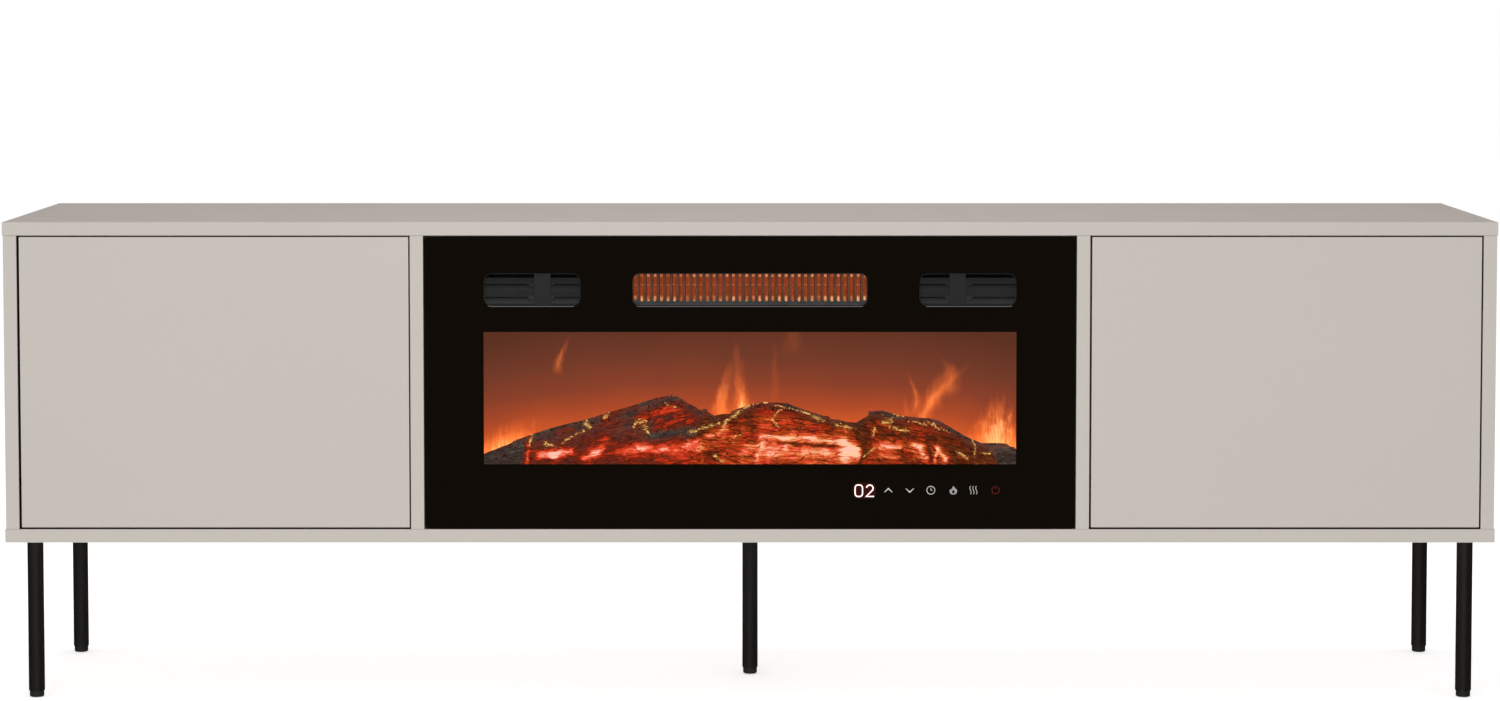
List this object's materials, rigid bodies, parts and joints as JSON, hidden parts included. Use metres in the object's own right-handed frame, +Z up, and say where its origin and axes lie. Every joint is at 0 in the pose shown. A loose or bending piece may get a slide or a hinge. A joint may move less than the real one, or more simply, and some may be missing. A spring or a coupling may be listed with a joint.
{
  "type": "fireplace tv stand",
  "caption": "Low TV cabinet on slim tube legs with push-to-open side doors and an electric fireplace insert behind black glass in the middle bay.",
  "frame": {"origin": "on the floor, under the middle of the cabinet", "axes": "+X to the right seen from the front, +Y from the front to the back, +Z up"},
  "size_m": [1.67, 0.35, 0.54],
  "materials": {
    "lacquered_board": "matt greige laminate on chipboard",
    "hardboard": "printed hardboard",
    "black_tube": "satin black powder coat",
    "black_plastic": "fine texture",
    "grey_plastic": "fine texture",
    "white_plastic": "smooth",
    "black_glass": "polished, printed black at the back round the clear window",
    "black_steel": "fine black powder coat",
    "zinc_steel": "zinc plated sheet",
    "nickel": "nickel plated",
    "glowing_ribbon": "glowing heater ribbon",
    "frosted_screen": "frosted acrylic lit from behind",
    "charred_resin": "painted translucent resin",
    "circuit_board": "lacquered circuit board"
  },
  "bodies": {
    "stand": {"top_panel": "lacquered_board", "bottom_panel": "lacquered_board", "left_side_panel": "lacquered_board", "right_side_panel": "lacquered_board", "left_divider": "lacquered_board", "right_divider": "lacquered_board", "rear_stretcher": "lacquered_board", "left_back_panel": "hardboard", "right_back_panel": "hardboard", "left_shelf": "lacquered_board", "right_shelf": "lacquered_board", "left_lower_hinge_arm": "nickel", "left_upper_hinge_arm": "nickel", "right_lower_hinge_arm": "nickel", "right_upper_hinge_arm": "nickel", "left_latch_housing": "white_plastic", "right_latch_housing": "white_plastic", "front_left_leg": "black_tube", "front_left_glide": "black_plastic", "front_right_leg": "black_tube", "front_right_glide": "black_plastic", "rear_left_leg": "black_tube", "rear_left_glide": "black_plastic", "rear_right_leg": "black_tube", "rear_right_glide": "black_plastic", "middle_leg": "black_tube", "middle_glide": "black_plastic", "front_glass": "black_glass", "glass_frame": "black_steel", "left_vent_grille": "black_plastic", "right_vent_grille": "black_plastic", "outlet_guard": "black_steel", "touch_panel": "circuit_board", "firebox_housing": "black_steel", "rear_cover": "black_steel", "mains_inlet": "black_plastic", "heater_duct": "zinc_steel", "blower_motor": "zinc_steel", "heating_element": "glowing_ribbon", "flame_screen": "frosted_screen", "spindle_motor": "zinc_steel", "log_bed": "charred_resin", "ember_light_bar": "circuit_board", "control_board": "circuit_board"},
    "left_leaf": {"left_door": "lacquered_board", "left_lower_hinge_cup": "nickel", "left_upper_hinge_cup": "nickel"},
    "right_leaf": {"right_door": "lacquered_board", "right_lower_hinge_cup": "nickel", "right_upper_hinge_cup": "nickel"},
    "left_lower_link": {"left_lower_hinge_link": "zinc_steel"},
    "left_upper_link": {"left_upper_hinge_link": "zinc_steel"},
    "right_lower_link": {"right_lower_hinge_link": "zinc_steel"},
    "right_upper_link": {"right_upper_hinge_link": "zinc_steel"},
    "left_plunger": {"left_latch_plunger": "grey_plastic"},
    "right_plunger": {"right_latch_plunger": "grey_plastic"},
    "blower": {"blower_wheel": "black_plastic"},
    "spindle": {"flame_spindle": "nickel"},
    "rocker": {"power_rocker": "grey_plastic"}
  },
  "joints": [
    {"name": "left_door_swing", "type": "hinge", "parent": "stand", "child": "left_leaf", "pos_m": [-0.8132, -0.172, 0.36], "axis": [0, 0, -1], "range_deg": [0, 95]},
    {"name": "right_door_swing", "type": "hinge", "parent": "stand", "child": "right_leaf", "pos_m": [0.8142, -0.172, 0.36], "axis": [0, 0, 1], "range_deg": [0, 95]},
    {"name": "left_lower_link_turn", "type": "hinge", "parent": "stand", "child": "left_lower_link", "pos_m": [-0.8082, -0.1552, 0.2571], "axis": [0, 0, -1], "range_deg": [0, 67.6]},
    {"name": "left_upper_link_turn", "type": "hinge", "parent": "stand", "child": "left_upper_link", "pos_m": [-0.8082, -0.1552, 0.4634], "axis": [0, 0, -1], "range_deg": [0, 67.6]},
    {"name": "right_lower_link_turn", "type": "hinge", "parent": "stand", "child": "right_lower_link", "pos_m": [0.8092, -0.1552, 0.2571], "axis": [0, 0, 1], "range_deg": [0, 67.6]},
    {"name": "right_upper_link_turn", "type": "hinge", "parent": "stand", "child": "right_upper_link", "pos_m": [0.8092, -0.1552, 0.4634], "axis": [0, 0, 1], "range_deg": [0, 67.6]},
    {"name": "left_latch_press", "type": "slide", "parent": "stand", "child": "left_plunger", "axis": [0, 1, 0], "range_m": [0, 0.003], "stiffness_N_per_m": 800},
    {"name": "right_latch_press", "type": "slide", "parent": "stand", "child": "right_plunger", "axis": [0, 1, 0], "range_m": [0, 0.003], "stiffness_N_per_m": 800},
    {"name": "blower_spin", "type": "hinge", "parent": "stand", "child": "blower", "pos_m": [0, -0.088, 0.462], "axis": [1, 0, 0], "continuous": true},
    {"name": "flame_spindle_spin", "type": "hinge", "parent": "stand", "child": "spindle", "pos_m": [0, -0.072, 0.3], "axis": [1, 0, 0], "continuous": true},
    {"name": "power_rocker_tilt", "type": "hinge", "parent": "stand", "child": "rocker", "pos_m": [0.234, -0.034, 0.228], "axis": [1, 0, 0], "range_deg": [-16, 0]}
  ],
  "couplings": [
    {"joint": "left_lower_link_turn", "follows": "left_door_swing", "ratio": 0.71},
    {"joint": "left_upper_link_turn", "follows": "left_door_swing", "ratio": 0.71},
    {"joint": "right_lower_link_turn", "follows": "right_door_swing", "ratio": 0.71},
    {"joint": "right_upper_link_turn", "follows": "right_door_swing", "ratio": 0.71}
  ]
}
